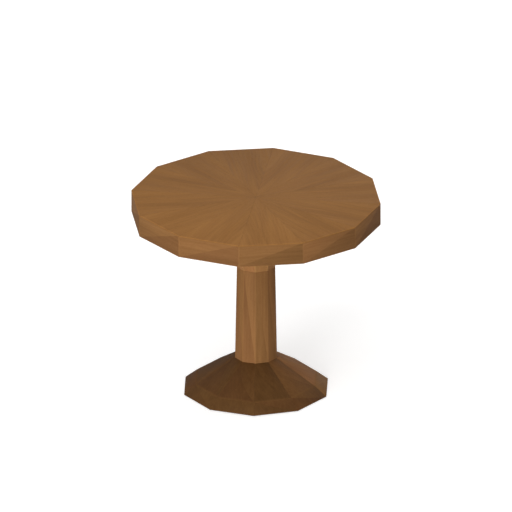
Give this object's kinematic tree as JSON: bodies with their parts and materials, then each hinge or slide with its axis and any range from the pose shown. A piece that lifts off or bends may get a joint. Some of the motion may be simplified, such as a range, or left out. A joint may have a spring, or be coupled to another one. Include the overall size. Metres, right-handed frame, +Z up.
{
  "type": "tilt-top table",
  "caption": "Pedestal table whose many-sided wooden top, with a deep mitred rim, tips upright on brass pivot pins over a faceted coopered column and a spreading dark base.",
  "frame": {"origin": "on the floor, at the centre of the column and the base", "axes": "+Z up along the column; -Y towards the side that the face of the tipped top turns to, where a corner of the top and of the base point; +X to the right of someone who looks along +Y"},
  "size_m": [0.9, 0.9, 0.74],
  "materials": {
    "veneer": "walnut veneer, pie-matched, satin wax",
    "rim_wood": "solid walnut, satin wax",
    "column_wood": "solid walnut, satin wax",
    "base_wood": "walnut, dark stained, satin wax",
    "core_wood": "unfinished secondary wood",
    "frame_wood": "oiled beech",
    "brass": "aged brass",
    "steel": "bright zinc",
    "felt": "pressed wool felt"
  },
  "bodies": {
    "pedestal": {"pivot_block": "frame_wood", "pivot_pin_left": "brass", "pivot_pin_right": "brass", "pin_washers": "brass", "strike_angle": "brass", "strike_screws": "brass", "block_dowels": "core_wood", "capital": "column_wood", "column_plugs": "core_wood", "column_stave_01": "column_wood", "column_stave_02": "column_wood", "column_stave_03": "column_wood", "column_stave_04": "column_wood", "column_stave_05": "column_wood", "column_stave_06": "column_wood", "column_stave_07": "column_wood", "column_stave_08": "column_wood", "column_stave_09": "column_wood", "column_stave_10": "column_wood", "tie_rod": "steel", "tie_rod_nuts": "steel", "tie_rod_washers": "steel", "base_segment_01": "base_wood", "base_segment_02": "base_wood", "base_segment_03": "base_wood", "base_segment_04": "base_wood", "base_segment_05": "base_wood", "base_segment_06": "base_wood", "base_segment_07": "base_wood", "base_segment_08": "base_wood", "base_segment_09": "base_wood", "base_segment_10": "base_wood", "baseboard": "base_wood", "baseboard_screws": "steel", "felt_pads": "felt"},
    "top": {"sunburst_veneer": "veneer", "top_core": "core_wood", "apron_board_01": "rim_wood", "apron_board_02": "rim_wood", "apron_board_03": "rim_wood", "apron_board_04": "rim_wood", "apron_board_05": "rim_wood", "apron_board_06": "rim_wood", "apron_board_07": "rim_wood", "apron_board_08": "rim_wood", "apron_board_09": "rim_wood", "apron_board_10": "rim_wood", "apron_board_11": "rim_wood", "apron_board_12": "rim_wood", "glue_blocks": "core_wood", "bearer_left": "frame_wood", "bearer_right": "frame_wood", "bearer_screws": "steel", "pivot_bushes": "brass", "catch_case": "brass", "catch_screws": "brass", "catch_leaf_spring": "brass"},
    "catch_bolt": {"catch_bolt": "brass", "catch_knob": "brass"}
  },
  "joints": [
    {"name": "top_tilt", "type": "hinge", "parent": "pedestal", "child": "top", "pos_m": [0, -0.13, 0.695], "axis": [1, 0, 0], "range_deg": [0, 90]},
    {"name": "catch_slide", "type": "slide", "parent": "top", "child": "catch_bolt", "axis": [0, -1, 0], "range_m": [0, 0.017]}
  ]
}
